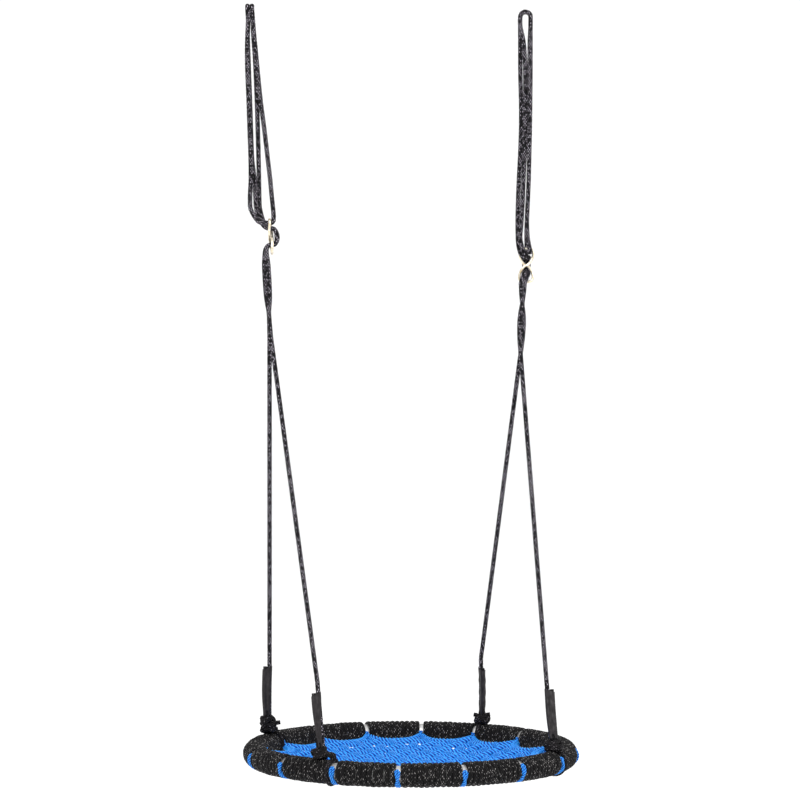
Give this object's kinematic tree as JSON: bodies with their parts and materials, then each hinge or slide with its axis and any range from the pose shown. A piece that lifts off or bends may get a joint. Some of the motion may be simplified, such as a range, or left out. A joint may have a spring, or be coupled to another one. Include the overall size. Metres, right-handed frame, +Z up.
{
  "type": "saucer nest swing",
  "caption": "Round nest swing seat: steel hoop wrapped in black rope with a woven blue rope net, hung from rope hangers that divide to its rim, with figure-of-eight adjusters",
  "frame": {"origin": "midway between the two hanging points, on the line through the middles of the hooks or bar that the two rope loops hang on", "axes": "+Z up, X along the hanging line from the left hanger to the right one, +Y towards the back of the swing"},
  "size_m": [0.603, 0.6028, 1.371],
  "materials": {
    "hanger_rope": "braided black polypropylene rope with light flecks, matt",
    "wrap_rope": "black braided rope wound close round the hoop, matt",
    "net_rope": "laid blue polypropylene rope with a slight sheen",
    "adjuster_wire": "bent wire with pale yellow zinc plating",
    "sleeve": "smooth black shrunk tube, soft sheen",
    "hoop_tube": "galvanised steel tube, dull grey"
  },
  "bodies": {
    "hanging_loops": {"hook_loop_left": "hanger_rope", "hook_loop_right": "hanger_rope"},
    "upper_ropes": {"bight_left": "hanger_rope", "bight_right": "hanger_rope", "strand_far_left": "hanger_rope", "strand_far_right": "hanger_rope", "strand_inner_left": "hanger_rope", "strand_inner_right": "hanger_rope"},
    "adjusters": {"adjuster_ring_left": "adjuster_wire", "adjuster_ring_right": "adjuster_wire", "rope_in_adjuster_left": "hanger_rope", "rope_in_adjuster_right": "hanger_rope"},
    "lower_ropes": {"doubled_rope_left": "hanger_rope", "doubled_rope_right": "hanger_rope", "leg_front_left": "hanger_rope", "leg_front_right": "hanger_rope", "leg_rear_left": "hanger_rope", "leg_rear_right": "hanger_rope"},
    "seat": {"hoop_tube": "hoop_tube", "rope_wrap_01": "wrap_rope", "rope_wrap_02": "wrap_rope", "rope_wrap_03": "wrap_rope", "rope_wrap_04": "wrap_rope", "rope_wrap_05": "wrap_rope", "rope_wrap_06": "wrap_rope", "rope_wrap_07": "wrap_rope", "rope_wrap_08": "wrap_rope", "rope_wrap_09": "wrap_rope", "rope_wrap_10": "wrap_rope", "rope_wrap_11": "wrap_rope", "rope_wrap_12": "wrap_rope", "rope_wrap_13": "wrap_rope", "rope_wrap_14": "wrap_rope", "rope_wrap_15": "wrap_rope", "rope_wrap_16": "wrap_rope", "net_lashing_01": "net_rope", "net_lashing_02": "net_rope", "net_lashing_03": "net_rope", "net_lashing_04": "net_rope", "net_lashing_05": "net_rope", "net_lashing_06": "net_rope", "net_lashing_07": "net_rope", "net_lashing_08": "net_rope", "net_lashing_09": "net_rope", "net_lashing_10": "net_rope", "net_lashing_11": "net_rope", "net_lashing_12": "net_rope", "net_lashing_13": "net_rope", "net_lashing_14": "net_rope", "net_lashing_15": "net_rope", "net_lashing_16": "net_rope", "seat_net": "net_rope", "knot_front_left": "hanger_rope", "knot_front_right": "hanger_rope", "knot_rear_left": "hanger_rope", "knot_rear_right": "hanger_rope", "sleeve_front_left": "sleeve", "sleeve_front_right": "sleeve", "sleeve_rear_left": "sleeve", "sleeve_rear_right": "sleeve"}
  },
  "joints": [
    {"name": "swing", "type": "hinge", "parent": "hanging_loops", "child": "upper_ropes", "pos_m": [0, 0, 0], "axis": [1, 0, 0], "range_deg": [-40, 40]},
    {"name": "adjuster_slide", "type": "slide", "parent": "upper_ropes", "child": "adjusters", "axis": [0, 0, 1], "range_m": [-0.12, 0.12], "deforming": ["bight_left", "bight_right", "strand_far_left", "strand_far_right", "strand_inner_left", "strand_inner_right"]},
    {"name": "seat_rock", "type": "hinge", "parent": "adjusters", "child": "lower_ropes", "pos_m": [0, 0, -0.5], "axis": [1, 0, 0], "range_deg": [-20, 20]},
    {"name": "seat_height", "type": "slide", "parent": "lower_ropes", "child": "seat", "axis": [0, 0, 1], "range_m": [-0.24, 0.24], "deforming": ["leg_front_left", "leg_front_right", "leg_rear_left", "leg_rear_right"]}
  ],
  "couplings": [
    {"joint": "adjuster_slide", "follows": "seat_height", "ratio": -0.5}
  ]
}
